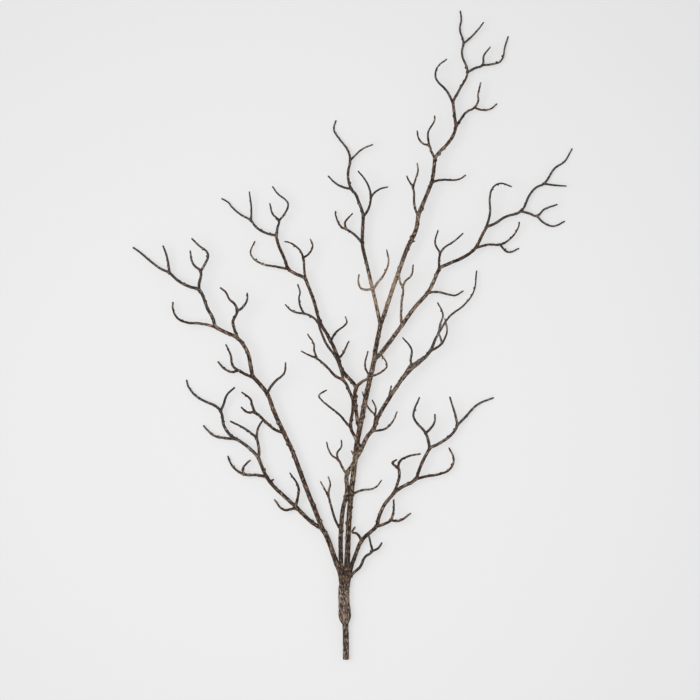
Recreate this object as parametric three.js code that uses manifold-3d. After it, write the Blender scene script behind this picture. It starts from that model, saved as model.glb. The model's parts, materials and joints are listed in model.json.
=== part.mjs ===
// A bare branching spray, laid down flat: limbs gathered in a rough collar on a thin cut stem.
// Millimetres, +Z up. The stem points to -Y and the tallest limb to +Y. The origin is on the surface,
// below the middle of the spray.
import * as THREE from 'three';
import { mergeVertices } from 'three/addons/utils/BufferGeometryUtils.js';
import Module from 'manifold-3d';

// Driving dimensions: the whole length, and the girths that go with it.
const SPRAY_LENGTH = 908;
const STEM_DIAMETER = 8.8;
const COLLAR_DIAMETER = 15.8;
const COLLAR_BULGE_DIAMETER = 18;
const STOUT_TWIG = { base: 4.4, fork: 4, tip: 2.7 };
const SLENDER_TWIG = { base: 3.8, fork: 3.3, tip: 2.3 };
const PIECE_GAP = 0.3;

// Every route is a list of [across, down] points, from base to tip, in units of which the whole length
// from the highest tip to the cut end of the stem holds this many.
const HIGHEST_TIP = 10.5;
const CUT_END = 660;
const UNIT = SPRAY_LENGTH / (CUT_END - HIGHEST_TIP);

// Facets round each tube. A faceted tube is as thick as a round one of its diameter.
const TWIG_SIDES = 4;
const LIMB_SIDES = 6;
const COLLAR_SIDES = 12;
const polygonRadius = (diameter, sides) =>
  (diameter / 2) * Math.sqrt((2 * Math.PI) / (sides * Math.sin((2 * Math.PI) / sides)));

// The collar lies on the surface, and so do the lowest tips.
const COLLAR_HEIGHT = polygonRadius(COLLAR_BULGE_DIAMETER, COLLAR_SIDES);

// Dry bark: on the limbs, darker on the thin outer twigs, paler on the collar and stem.
const barkFinish = (name, color, roughness) =>
  new THREE.MeshStandardMaterial({ name, color, roughness, metalness: 0 });
const limbBark = barkFinish('limb_bark', 0x4d3d31, 0.9);
const twigBark = barkFinish('twig_bark', 0x3f342c, 0.9);
const sleeveBark = barkFinish('sleeve_bark', 0x57473a, 0.95);

// A shoot holds its route and its stops: points of the route, by their index, with a diameter and a height
// there, between which both change evenly. Its base is as high as what it grows from. The first twig that
// starts at its very end carries its line on to that twig's tip.
function shoot(sides, [base, end], height, route, twigs) {
  const last = route.length - 1;
  const stops = [{ at: 0, diameter: base }, { at: last, diameter: end, height }];
  const next = twigs.find((child) => child.route[0].join() === route[last].join());
  if (!next) return { sides, stops, route, twigs };
  return {
    sides,
    stops: [...stops, ...next.stops.slice(1).map((stop) => ({ ...stop, at: stop.at + last }))],
    route: [...route, ...next.route.slice(1)],
    twigs: [...twigs.filter((child) => child !== next), ...next.twigs],
  };
}
// A limb is a piece of its own, with the twigs that are fused to it, and a stretch is a thick part of one.
const limb = (name, diameters, height, route, twigs) =>
  ({ name, ...shoot(LIMB_SIDES, diameters, height, route, twigs) });
const stretch = (diameters, height, route, ...twigs) => shoot(LIMB_SIDES, diameters, height, route, twigs);
// A forked twig carries tines at its end, and a twig has one tip. A lying tip is as high as it is thick.
const twigsOf = ({ base, fork, tip }) => ({
  lying: polygonRadius(tip, TWIG_SIDES),
  forked: (height, route, ...tines) => shoot(TWIG_SIDES, [base, fork], height, route, tines),
  tine: (height, ...route) => shoot(TWIG_SIDES, [fork, tip], height, route, []),
  twig: (height, ...route) => shoot(TWIG_SIDES, [base, tip], height, route, []),
});
// Twigs are stouter on the left and at the lower right than in the middle and at the top.
const stout = twigsOf(STOUT_TWIG);
const slender = twigsOf(SLENDER_TWIG);

// The left limb and its two arms
const leftLimb = limb('left_limb', [7.2, 7], 11, [[332.5, 552], [326, 535], [323, 530]], []);
const leftUpperLimb = limb('left_upper_limb', [6.8, 5.8], 24, [
  [323, 530], [292, 450], [273.5, 410], [267.5, 394], [253.5, 377],
], [
  stout.forked(27, [[284, 433], [276, 430], [255, 412.5]],
    stout.tine(34, [255, 412.5], [247.5, 412], [241.8, 407.3]),
    stout.tine(22, [255, 412.5], [250.8, 399.5], [242, 392.3])),
  stout.twig(40, [266.5, 395], [270.5, 387.5], [276.5, 380.3], [283, 375], [285, 371.5], [285.9, 362.8]),
]);
const leftUpperShoot = limb('left_upper_shoot', [5.8, 5.1], 27, [
  [253.5, 377], [248.3, 354], [243, 344], [237.5, 338], [216.5, 327.5],
], [
  stout.forked(18, [[254.5, 378], [237.5, 370.3]],
    stout.tine(9, [237.5, 370.3], [233.5, 372], [225.5, 369.5], [218, 362]),
    stout.tine(24, [237.5, 370.3], [232.5, 365], [231, 356], [226.3, 344.8])),
  stout.forked(38, [[238.5, 339], [233.3, 322], [237.5, 311.5]],
    stout.tine(44, [237.5, 311.5], [235, 304], [230, 299.5], [226, 292], [221.3, 288.3]),
    stout.tine(36, [237.5, 311.5], [243, 307.5], [247.7, 299], [247.5, 293.5])),
  stout.twig(12, [218, 328.5], [212, 326], [200, 323.5], [187, 322.5], [177.5, 318], [172.8, 308.5],
    [173, 302.5]),
]);
const leftUpperCrown = limb('left_upper_crown', [5, 4.6], 25, [
  [216.5, 327.5], [213, 318], [207.5, 308], [203.5, 297], [199.5, 290],
], [
  stretch([4.4, 3.8], 13, [[199.5, 290], [190, 286.8], [178.5, 281], [169.5, 273]],
    stout.tine(stout.lying, [169.5, 273], [160, 268.3], [133, 247.5]),
    stout.tine(19, [169.5, 273], [166.8, 256], [163.4, 246.3])),
  stout.forked(32, [[199.5, 290], [201, 271.5]],
    stout.tine(40, [201, 271.5], [195, 266], [192.7, 262], [190.9, 251.5]),
    stout.tine(27, [201, 271.5], [205.5, 264], [208.3, 254.5], [192.3, 239])),
]);
const leftLowerLimb = limb('left_lower_limb', [5.9, 5.1], 15, [
  [323, 530], [312, 522.5], [273, 485.5], [266.5, 476.5], [258.5, 458],
], [
  stout.twig(30, [295.5, 506.5], [297.8, 497.5], [298.5, 487], [290.2, 473]),
  stout.twig(7, [297, 508], [286.5, 510.2], [282.5, 509.3], [274.5, 500]),
  stout.forked(11, [[267, 477.5], [259, 475.3], [244, 474.3]],
    stout.tine(4, [244, 474.3], [236, 470], [230, 462.5], [227.8, 456.5]),
    stout.tine(20, [244, 474.3], [242.8, 469.3], [246.5, 463.5], [250.3, 460.2])),
  stout.twig(16, [269.5, 482], [273.5, 479.5]),
]);
const leftLowerShoot = limb('left_lower_shoot', [4.9, 4.1], 13, [
  [258.5, 458], [248, 447], [232, 436.5], [224.5, 427], [220.5, 411],
], [
  stout.forked(14, [[258.5, 458], [259, 453], [256.5, 438.5]],
    stout.tine(26, [256.5, 438.5], [251, 433], [231, 421.3]),
    stout.tine(8, [256.5, 438.5], [257.5, 430], [263.3, 419.5])),
  stout.twig(5, [236, 439], [214.5, 436], [203.5, 426]),
  stout.tine(stout.lying, [220.5, 411], [216, 406.5], [197, 397], [188, 386.5], [186.3, 380.5]),
  stout.tine(24, [220.5, 411], [227, 395], [234.5, 387.7]),
]);

// The centre-left limb, which crosses over the centre limb and goes on to the right
const centreLeftLimb = limb('centre_left_limb', [6.4, 6.1], 26, [
  [340.6, 548], [342.8, 510], [347.2, 490], [347, 474], [360.5, 450.5],
], [
  slender.forked(26, [[341, 530], [336.5, 522.5], [328.5, 496]],
    slender.tine(31, [328.5, 496], [320.7, 481.3]),
    slender.tine(22, [328.5, 496], [330.3, 483.5], [328.3, 476.8])),
  slender.forked(33, [[347, 474], [338.3, 459.5]],
    slender.tine(30, [338.3, 459.5], [332, 455], [328, 447.5], [326.8, 442]),
    slender.tine(42, [338.3, 459.5], [337.2, 453], [341.3, 446.5], [341.5, 440])),
]);
const crossingLimb = limb('crossing_limb', [6.1, 5.6], 30, [
  [360.5, 450.5], [367.5, 436], [373, 429.5], [378, 417], [388.5, 399], [411, 367],
], [
  slender.twig(38, [372, 430.5], [377, 430.5], [386, 428], [393, 420.5], [396.8, 411.5]),
  slender.forked(33, [[373.5, 428.5], [375, 415]],
    slender.tine(30, [375, 415], [366.5, 404.5], [362.5, 392]),
    slender.tine(41, [375, 415], [375.7, 408], [372.3, 400])),
  slender.twig(34, [388.5, 399], [391.2, 386]),
]);
const crossingCrown = limb('crossing_crown', [5.4, 4.8], 27, [
  [411, 367], [420, 361.5], [430, 351],
], [
  slender.twig(40, [411.5, 366.7], [410.5, 360], [411.7, 352], [410.5, 347.5], [402.5, 337.8]),
  stretch([4.2, 3.5], 24, [[430, 351], [438, 334]],
    slender.tine(33, [438, 334], [442.7, 315], [437.5, 303]),
    slender.tine(8, [438, 334], [449.5, 316.5], [464, 305], [473.5, 292], [476.7, 271])),
  slender.forked(34, [[430, 351], [441.5, 343.5]],
    slender.tine(40, [441.5, 343.5], [446.7, 331], [444.5, 319]),
    slender.tine(43, [441.5, 343.5], [438.5, 333.5])),
]);
const middleStrand = limb('middle_strand', [5, 4.3], 33, [
  [360.5, 450.5], [351, 428], [353, 407], [352.5, 399], [344, 381],
], [
  slender.twig(41, [351, 428], [340, 415], [321, 399], [319, 395.5], [326.5, 390]),
  slender.forked(39, [[344, 381], [335, 375.5], [317, 358.5]],
    slender.tine(34, [317, 358.5], [301.5, 351.2]),
    slender.tine(46, [317, 358.5], [314.2, 349.5], [314.3, 345], [308, 334.5])),
]);
const thinStrand = limb('thin_strand', [4, 3.4], 29, [
  [344, 381], [336, 357.5], [326.5, 344], [317, 321], [304, 313.5],
], [
  slender.tine(23, [304, 313.5], [291.5, 310.5], [285.5, 304.8]),
  slender.tine(37, [304, 313.5], [300.5, 306.5], [299.2, 297.5], [300.2, 293], [298, 284.8]),
]);

// The centre limb, lowest of the middle ones, and the strand that leaves it to the upper left
const centreLimb = limb('centre_limb', [7.9, 6.9], 16, [
  [347.6, 552], [350.5, 500], [357.5, 440], [374, 361],
], [
  slender.twig(17, [352.5, 494], [361, 490.5], [375, 487.7], [381.5, 480.3]),
  slender.twig(16, [355.5, 458.5], [351.5, 451]),
]);
const innerLeftLimb = limb('inner_left_limb', [5.6, 5.3], 20, [
  [359.5, 432], [355.3, 400], [356, 388],
], [
  slender.forked(26, [[356, 388], [368.5, 376.5]],
    slender.tine(36, [368.5, 376.5], [365, 364], [367.8, 351.5]),
    slender.tine(27, [368.5, 376.5], [377, 374.3], [385, 369], [386.8, 366], [379.5, 352.3])),
]);
const innerLeftCrown = limb('inner_left_crown', [5.2, 4.7], 20, [
  [356, 388], [341.5, 369], [338, 357], [320.5, 323], [313.6, 300], [305.5, 279],
], [
  slender.twig(27, [330.5, 341.5], [335.5, 333], [346.8, 322.5], [345.5, 317]),
  slender.twig(12, [338, 357.5], [340.5, 356.5], [348.8, 341.5]),
]);
const innerLeftTop = limb('inner_left_top', [4.8, 4.3], 16, [
  [305.5, 279], [288.5, 269], [277.5, 242], [276.3, 236.5],
], [
  slender.forked(31, [[305.5, 279], [303.3, 258]],
    slender.tine(36, [303.3, 258], [299.5, 250], [288.5, 242.5], [285, 242]),
    slender.tine(29, [303.3, 258], [308.5, 254.5], [312.7, 246.5], [310.5, 239.5])),
  slender.twig(10, [289, 269.3], [260, 263], [251.5, 256], [250.5, 252], [254.7, 241.5]),
]);
const innerLeftTip = limb('inner_left_tip', [4.1, 4], 16, [[276.3, 236.5], [276.8, 232.5]], [
  stretch([3.8, 3.3], 10, [[276.5, 235.5], [266, 233], [256, 227], [251, 220.5]],
    slender.tine(slender.lying, [251, 220.5], [240, 214], [228.5, 202.5], [221.5, 198.3]),
    slender.tine(17, [251, 220.5], [251.3, 209], [249.4, 192])),
  slender.forked(23, [[276.8, 233], [279, 221]],
    slender.tine(31, [279, 221], [273, 214.5], [270, 204]),
    slender.tine(21, [279, 221], [285, 213.5], [288.2, 204.5], [286.5, 201], [278, 194], [272.8, 187])),
]);

// What the centre limb carries: a short neck, the upright crown and the tall limb
const centreNeck = limb('centre_neck', [6.8, 6.3], 18, [[374, 361], [380, 327]], []);
const centreCrown = limb('centre_crown', [5.3, 4.8], 20, [
  [380, 327], [377.2, 310], [362.5, 246], [363.3, 217],
], [
  slender.twig(33, [372.5, 289], [365, 289.7], [361, 288.3], [358.3, 281.5], [359, 275]),
  slender.twig(30, [373, 290], [383, 276], [388.5, 262.5], [386.6, 250]),
  slender.forked(14, [[362.4, 244], [357, 237], [346, 229]],
    slender.tine(8, [346, 229], [342, 227.5], [335.8, 215.5], [335.5, 211.5]),
    slender.tine(22, [346, 229], [345, 222.5], [352.5, 213.8])),
]);
const centreTip = limb('centre_tip', [4.5, 3.6], 10, [
  [363.3, 217], [356, 195], [351, 188.5], [348, 174], [350.2, 159.5],
], [
  slender.twig(24, [351.5, 189], [344, 187.5], [336.5, 184], [328.3, 176.5]),
  slender.tine(slender.lying, [350.2, 159.5], [348, 150.5], [338.5, 137.5], [333.8, 129], [335.8, 120.3]),
  slender.tine(19, [350, 160.5], [362, 149.3], [372.5, 144.8]),
  slender.forked(28, [[363.3, 217], [368.5, 209], [370.7, 198]],
    slender.tine(36, [370.7, 198], [369, 188], [364.5, 179.5], [358.3, 172]),
    slender.tine(22, [370.7, 198], [374, 193.5], [380.5, 189], [387.5, 187.2])),
]);
const tallLimb = limb('tall_limb', [6.1, 6], 26, [
  [380, 327], [406.5, 250], [415.8, 230], [418, 217],
], [slender.twig(25, [410, 242], [414.5, 241.5])]);
const tallLimbUpper = limb('tall_limb_upper', [5.9, 5], 24, [
  [418, 217], [432, 181], [434.8, 159],
], [
  slender.forked(36, [[418, 217], [414.5, 207], [412.7, 188]],
    slender.tine(40, [412.7, 188], [406.5, 177]),
    slender.tine(30, [412.7, 188], [417.8, 171], [417, 164])),
  slender.twig(16, [431.5, 182.5], [440, 180.3], [459, 179.3], [465.5, 175.3]),
]);
const tallCrown = limb('tall_crown', [5, 4.2], 17, [
  [434.8, 159], [452.5, 136.5], [455.5, 127.5], [453, 103],
], [
  slender.forked(31, [[434.8, 159], [429, 146.3]],
    slender.tine(27, [429, 146.3], [423, 144.2], [418.6, 139], [417, 131.5]),
    slender.tine(38, [429, 146.3], [427.8, 133.5], [434.5, 120], [434.3, 117])),
  slender.forked(13, [[455.3, 128.5], [466.5, 112], [474.5, 107.5]],
    slender.tine(21, [474.5, 107.5], [478.3, 100.5], [478, 95.5], [480.6, 83]),
    slender.tine(5, [474.5, 107.5], [482, 109.8], [490.5, 108.7], [497, 103.5])),
]);
const tallTip = limb('tall_tip', [3.9, 3.3], 10, [[453, 103], [467.5, 72]], [
  slender.twig(29, [453, 103], [446.5, 91], [436.8, 80.5], [435.3, 76], [437.5, 67.5], [446.3, 60]),
  slender.forked(7, [[467.5, 72], [462.3, 55], [463.7, 43]],
    slender.tine(slender.lying, [463.7, 43], [460, 28.5], [461.5, 18.5], [460.5, HIGHEST_TIP]),
    slender.tine(15, [463.7, 43], [470, 38], [483.5, 22.5])),
  slender.forked(12, [[467.5, 72], [482.5, 65]],
    slender.tine(22, [482.5, 65], [483.7, 56], [490, 47.5]),
    slender.tine(slender.lying, [482.5, 65], [492, 64], [501, 60.5], [508.5, 36])),
]);

// The right limb
const rightLimb = limb('right_limb', [6.3, 5.2], 22, [
  [374, 361], [381, 353], [415, 307], [428, 292], [439, 269],
], [
  slender.forked(29, [[401.5, 326], [401, 315], [402.5, 287]],
    slender.tine(33, [402.5, 287], [400.5, 284], [399.5, 272]),
    slender.tine(39, [402.5, 287], [405.5, 281], [411, 276], [413, 265.5])),
  slender.twig(11, [427, 293], [437, 292], [455.5, 295.3], [463, 291]),
]);
const rightLimbOuter = limb('right_limb_outer', [4.9, 4.2], 17, [
  [439, 269], [469.5, 253.5], [475.5, 248], [486, 228],
], [
  slender.forked(33, [[439, 269], [439.7, 254]],
    slender.tine(39, [439.7, 254], [434.8, 243], [437.6, 231]),
    slender.tine(29, [439.7, 254], [443, 249], [454.5, 241], [462.5, 233.8])),
  slender.forked(9, [[475.5, 248], [489, 244.5], [500, 244.5]],
    slender.tine(16, [500, 244.5], [507.5, 241], [518.3, 227.5], [519.3, 222.5]),
    slender.tine(slender.lying, [500, 244.5], [508.5, 252], [519, 248.3])),
]);
const rightTip = limb('right_tip', [4.1, 3.5], 10, [[486, 228], [505, 217], [521, 211]], [
  slender.twig(31, [486, 228], [489.8, 214], [489.8, 196], [493, 187.5], [500, 183.8], [511, 187]),
  slender.forked(6, [[521, 211], [530, 194.5], [536, 187.5], [544, 183.5]],
    slender.tine(slender.lying, [544, 183.5], [555.5, 167.5], [564.5, 161.5], [572.5, 148.5]),
    slender.tine(13, [544, 183.5], [566, 186])),
  slender.forked(6, [[521, 211], [537, 215.8]],
    slender.tine(14, [537, 215.8], [544, 209.5], [557, 204.5]),
    slender.tine(slender.lying, [537, 215.8], [544, 222.5], [553, 226], [557.5, 225], [565, 221])),
]);

// The lower right limb and the small twig beside the collar
const lowerRightLimb = limb('lower_right_limb', [5.6, 5], 17, [
  [355.5, 555], [361.5, 541], [376.5, 526], [384, 505.5], [393.5, 493.5],
], [
  stout.twig(19, [361.7, 540.6], [356.5, 533.3], [352.6, 532.3], [354.8, 527]),
  stout.forked(21, [[376, 526.5], [384, 524], [390.5, 520]],
    stout.tine(30, [390.5, 520], [393, 513], [393.5, 499.5]),
    stout.tine(14, [390.5, 520], [399, 520.7], [410.5, 513.5])),
]);
const lowerRightShoot = limb('lower_right_shoot', [5.1, 4.5], 18, [
  [393.5, 493.5], [401, 487.5], [415.5, 479], [423, 460.5], [429.5, 448.5],
], [
  stout.forked(29, [[393.5, 493.5], [399.3, 475], [397.8, 467.5]],
    stout.tine(33, [397.8, 467.5], [393, 464], [392.3, 462.3], [396.3, 459.5]),
    stout.tine(24, [397.8, 467.5], [399.7, 461], [407, 456.5], [420, 453.7])),
  stout.twig(9, [415, 479.3], [439, 474.2], [450, 469], [453.8, 459.5], [449.3, 448.3]),
]);
const lowerRightCrown = limb('lower_right_crown', [4.5, 3.9], 13, [
  [429.5, 448.5], [438, 444], [452, 434], [457, 425.5],
], [
  stout.forked(25, [[429.5, 448.5], [425.5, 433]],
    stout.tine(30, [425.5, 433], [414, 418.5], [413.3, 414], [419.2, 397.5]),
    stout.tine(21, [425.5, 433], [430.5, 428.3], [434.5, 421.5], [434.8, 414.5])),
  stout.tine(23, [457, 425.5], [456.5, 420.5], [449.8, 397.3]),
  stout.tine(stout.lying, [457, 425.5], [475.5, 406.3], [480, 403.2], [493.5, 398]),
]);
const smallRightTwig = limb('small_right_twig', [4.5, 3.8], 17, [
  [346.5, 583], [352, 574.5], [360, 567], [365, 557], [371.5, 551.5],
], [
  stout.tine(23, [371.5, 551.5], [368.7, 535]),
  stout.tine(12, [371.5, 551.5], [378.5, 547.8], [381.8, 543]),
]);

// The stem, and the collar with the stumps of the limbs gathered in it. The collar's diameters are listed
// point by point along its route, from the stem up.
const stem = limb('stem', [STEM_DIAMETER, STEM_DIAMETER], COLLAR_HEIGHT, [
  [346, CUT_END], [345.9, 640], [345.3, 622],
], []);
const leftStump = stretch([8.6, 7.2], 9.5, [[343, 592], [340, 572], [336, 562], [332.5, 552]]);
const centreLeftStump = stretch([7.4, 6.4], 15, [[343.5, 588], [341.5, 570], [340.6, 548]]);
const centreStump = stretch([9, 7.9], 8.5, [[345.5, 590], [346.5, 572], [347.6, 552]]);
const lowerRightStump = stretch([7.2, 5.6], 9.5, [[347, 588], [350.5, 570], [355.5, 555]]);
const collar = {
  name: 'collar',
  sides: COLLAR_SIDES,
  route: [[345.2, 624], [344.9, 619.5], [344.8, 616], [344.6, 610], [344, 602], [343.8, 590], [344.2, 576]],
  stops: [
    STEM_DIAMETER + 1, COLLAR_BULGE_DIAMETER - 2, COLLAR_BULGE_DIAMETER, COLLAR_BULGE_DIAMETER - 1,
    COLLAR_DIAMETER, COLLAR_DIAMETER, COLLAR_DIAMETER - 5,
  ].map((diameter, at) => ({ at, diameter, height: COLLAR_HEIGHT })),
  twigs: [leftStump, centreLeftStump, centreStump, lowerRightStump],
};

// What each limb grows from, older limbs first.
const GROWTH = [
  [leftLimb, leftStump], [leftUpperLimb, leftLimb], [leftUpperShoot, leftUpperLimb],
  [leftUpperCrown, leftUpperShoot], [leftLowerLimb, leftLimb], [leftLowerShoot, leftLowerLimb],
  [centreLimb, centreStump], [centreNeck, centreLimb], [rightLimb, centreLimb], [innerLeftLimb, centreLimb],
  [innerLeftCrown, innerLeftLimb], [innerLeftTop, innerLeftCrown], [innerLeftTip, innerLeftTop],
  [tallLimb, centreNeck], [centreCrown, centreNeck], [centreTip, centreCrown], [tallLimbUpper, tallLimb],
  [tallCrown, tallLimbUpper], [tallTip, tallCrown], [rightLimbOuter, rightLimb], [rightTip, rightLimbOuter],
  [centreLeftLimb, centreLeftStump], [crossingLimb, centreLeftLimb], [crossingCrown, crossingLimb],
  [middleStrand, centreLeftLimb], [thinStrand, middleStrand], [lowerRightLimb, lowerRightStump],
  [lowerRightShoot, lowerRightLimb], [lowerRightCrown, lowerRightShoot], [smallRightTwig, collar],
];
const SLEEVE_PIECES = [stem, collar];
const TWIG_PIECES = [
  leftUpperCrown, leftLowerShoot, innerLeftTip, centreTip, tallTip, rightTip, crossingCrown, thinStrand,
  lowerRightCrown, smallRightTwig,
];

const wasm = await Module();
wasm.setup();

// Lengths along a route up to each of its points, in millimetres.
function lengthsAlong(route) {
  let length = 0;
  return route.map(([x, y], i) => {
    if (i > 0) length += UNIT * Math.hypot(x - route[i - 1][0], y - route[i - 1][1]);
    return length;
  });
}

// The height of a laid line at its point nearest to the place given.
function heightAt(line, place) {
  const near = new THREE.Vector3();
  let nearest = Infinity;
  let height = line[0].z;
  for (let i = 1; i < line.length; i++) {
    const part = new THREE.Line3(line[i - 1], line[i]);
    part.closestPointToPoint(place.clone().setZ(line[i].z), true, near);
    const distance = Math.hypot(near.x - place.x, near.y - place.y);
    if (distance < nearest) {
      nearest = distance;
      height = near.z;
    }
  }
  return height;
}

// A value that the stops of a shoot give, at each point of its route.
function along({ route, stops }, value) {
  const lengths = lengthsAlong(route);
  return route.map((_, i) => {
    const next = Math.max(1, stops.findIndex((stop) => stop.at >= i));
    const [from, to] = [stops[next - 1], stops[next]];
    const share = (lengths[i] - lengths[from.at]) / (lengths[to.at] - lengths[from.at]);
    return THREE.MathUtils.lerp(value(from), value(to), share);
  });
}

// Lays a shoot and its twigs in space, from the height of its base.
const lines = new Map();
function lay(shoot, baseHeight) {
  const heights = along(shoot, (stop) => stop.height ?? baseHeight);
  const line = shoot.route.map(([x, y], i) => new THREE.Vector3(x * UNIT, (CUT_END - y) * UNIT, heights[i]));
  lines.set(shoot, line);
  for (const child of shoot.twigs) lay(child, heightAt(line, placeOf(child)));
}
function placeOf({ route: [[x, y]] }) {
  return new THREE.Vector3(x * UNIT, (CUT_END - y) * UNIT, 0);
}

function solidOf(geometry) {
  return new wasm.Manifold(new wasm.Mesh({
    numProp: 3,
    vertProperties: new Float32Array(geometry.attributes.position.array),
    triVerts: new Uint32Array(geometry.index.array),
  }));
}

// A closed tube along a line: a cylinder whose rings are set square to the line, one at each point.
// Grown by a margin, it is thicker and longer all round.
function tube(shoot, margin) {
  const line = lines.get(shoot).map((point) => point.clone());
  const radii = along(shoot, (stop) => polygonRadius(stop.diameter, shoot.sides));
  const last = line.length - 1;
  const tangents = line.map((_, i) =>
    line[Math.min(i + 1, last)].clone().sub(line[Math.max(i - 1, 0)]).normalize());
  line[0].addScaledVector(tangents[0], -margin);
  line[last].addScaledVector(tangents[last], margin);
  const cylinder = new THREE.CylinderGeometry(1, 1, 1, shoot.sides, last, false, Math.PI);
  cylinder.deleteAttribute('normal');
  cylinder.deleteAttribute('uv');
  const geometry = mergeVertices(cylinder);
  const position = geometry.attributes.position;
  const surfaceUp = new THREE.Vector3(0, 0, 1);
  for (let i = 0; i < position.count; i++) {
    const ring = Math.round((position.getY(i) + 0.5) * last);
    const side = tangents[ring].clone().cross(surfaceUp).normalize();
    const up = side.clone().cross(tangents[ring]);
    const radius = radii[ring] + margin;
    const point = line[ring].clone()
      .addScaledVector(side, position.getX(i) * radius)
      .addScaledVector(up, position.getZ(i) * radius);
    position.setXYZ(i, point.x, point.y, point.z);
  }
  return solidOf(geometry);
}

// A shoot with all its twigs fused to it.
function fused(shoot, margin = 0) {
  return shoot.twigs.reduce((solid, child) => solid.add(fused(child, margin)), tube(shoot, margin));
}

const largestBody = (solid) => solid.decompose().reduce((a, b) => (b.volume() > a.volume() ? b : a));

// A piece as a mesh whose own origin is at the base of its line.
function pieceMesh(piece, solid) {
  const { vertProperties, triVerts } = solid.getMesh();
  const geometry = new THREE.BufferGeometry();
  geometry.setAttribute('position', new THREE.BufferAttribute(vertProperties, 3));
  geometry.setIndex(new THREE.BufferAttribute(triVerts, 1));
  const base = lines.get(piece)[0];
  geometry.translate(-base.x, -base.y, -base.z);
  geometry.computeVertexNormals();
  const plainBark = TWIG_PIECES.includes(piece) ? twigBark : limbBark;
  const mesh = new THREE.Mesh(geometry, SLEEVE_PIECES.includes(piece) ? sleeveBark : plainBark);
  mesh.name = piece.name;
  mesh.position.copy(base);
  return mesh;
}

// Every piece is cut back from what it grows from and from older limbs of the same fork, by the gap.
const spray = new THREE.Group();
lay(collar, COLLAR_HEIGHT);
lay(stem, COLLAR_HEIGHT);
spray.add(pieceMesh(collar, fused(collar)));
spray.add(pieceMesh(stem, largestBody(fused(stem).subtract(fused(collar, PIECE_GAP)))));
GROWTH.forEach(([piece, carrier], age) => {
  lay(piece, heightAt(lines.get(carrier), placeOf(piece)));
  const carrierPiece = collar.twigs.includes(carrier) ? collar : carrier;
  const olderLimbs = GROWTH.slice(0, age).filter(([, other]) => other === carrier).map(([older]) => older);
  const cut = [carrierPiece, ...olderLimbs].reduce(
    (solid, neighbour) => solid.subtract(fused(neighbour, PIECE_GAP)), fused(piece));
  spray.add(pieceMesh(piece, largestBody(cut)));
});

// The origin goes on the surface, below the middle of the spray.
const box = new THREE.Box3().setFromObject(spray, true);
const middle = box.getCenter(new THREE.Vector3());
spray.position.set(-middle.x, -middle.y, -box.min.z);

export default spray;
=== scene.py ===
"""Finish of a bare branching spray that lies on a pale floor: knotty bark over its limbs, collar and stem."""

import json
import logging
import random
from dataclasses import dataclass, field, replace
from enum import Enum
from typing import Any, Iterator, Union

import bmesh
import bpy
import numpy as np
from mathutils import Matrix, Vector, noise


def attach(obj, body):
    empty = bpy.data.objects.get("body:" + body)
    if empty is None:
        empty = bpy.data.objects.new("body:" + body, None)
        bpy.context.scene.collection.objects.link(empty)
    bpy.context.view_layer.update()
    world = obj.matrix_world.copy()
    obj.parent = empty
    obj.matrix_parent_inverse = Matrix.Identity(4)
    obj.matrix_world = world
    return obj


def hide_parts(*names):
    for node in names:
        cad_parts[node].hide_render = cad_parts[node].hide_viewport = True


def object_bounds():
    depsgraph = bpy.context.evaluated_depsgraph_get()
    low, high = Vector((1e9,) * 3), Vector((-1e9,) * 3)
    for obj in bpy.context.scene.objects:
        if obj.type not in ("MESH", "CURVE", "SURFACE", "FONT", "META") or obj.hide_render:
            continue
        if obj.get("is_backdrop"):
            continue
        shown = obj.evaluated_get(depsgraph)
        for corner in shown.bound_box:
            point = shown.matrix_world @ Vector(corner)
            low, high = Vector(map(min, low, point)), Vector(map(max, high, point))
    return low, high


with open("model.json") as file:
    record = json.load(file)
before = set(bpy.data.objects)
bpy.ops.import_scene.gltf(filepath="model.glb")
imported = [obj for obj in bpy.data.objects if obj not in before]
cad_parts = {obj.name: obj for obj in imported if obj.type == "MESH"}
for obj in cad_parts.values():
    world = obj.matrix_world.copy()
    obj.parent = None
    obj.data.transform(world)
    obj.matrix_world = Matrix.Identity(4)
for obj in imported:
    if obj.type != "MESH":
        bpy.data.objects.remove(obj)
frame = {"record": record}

LOG = logging.getLogger("spray")
CAD_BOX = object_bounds()
MM = 0.001
BODY = "root"
Colour = tuple[float, float, float]
Place = tuple[float, float, float]
Point = list[float]
Input = Union["Value", float, Colour]

# Routes are lists of [across, down] points, from base to tip, in units of the reference picture.
HIGHEST_TIP = 10.5
CUT_END = 660
MIDDLE_ACROSS = 352.75
UNIT = (CAD_BOX[1].y - CAD_BOX[0].y) / (CUT_END - HIGHEST_TIP)

# Diameters of the stem and the collar, and the height of their middle, in millimetres.
STEM_DIAMETER = 8.8
COLLAR_DIAMETER = 15.8
COLLAR_BULGE_DIAMETER = 18
COLLAR_HEIGHT = 9.1

# How far a limb reaches back into what it grows from, and its girth there, both against its own radius.
ROOT_REACH = 2.4
ROOT_SLIMNESS = 0.75

# Between which places up the spray the collar's bark turns into the limbs', and where the tall limb is worn.
NECK = (-0.362, -0.332)
WORN_PLACE: Place = (0.056, 0.060, 0.03)
WORN_REACH = 75 * MM

# How much high spots, weather and wear make the bark paler, and how softly the pale grains end.
RELIEF_WEIGHT = 0.1
WEATHER_WEIGHT = 0.2
WORN_WEIGHT = 0.08
FLECK_SOFTNESS = 0.12

# Shares of the lumps and of the grains in the relief that the bark's colour follows: its low spots get painted
# shade and its high spots turn paler
LUMP_SHARE = 0.45
GRAIN_SHARE = 0.75

# Height of the middle of a tip that lies on the floor, against its diameter
LYING_HEIGHT = 0.55


class Bark(Enum):
    """Kinds of bark on the spray, named as the record's material slots."""

    LIMB = "limb_bark"
    TWIG = "twig_bark"
    SLEEVE = "sleeve_bark"


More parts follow.
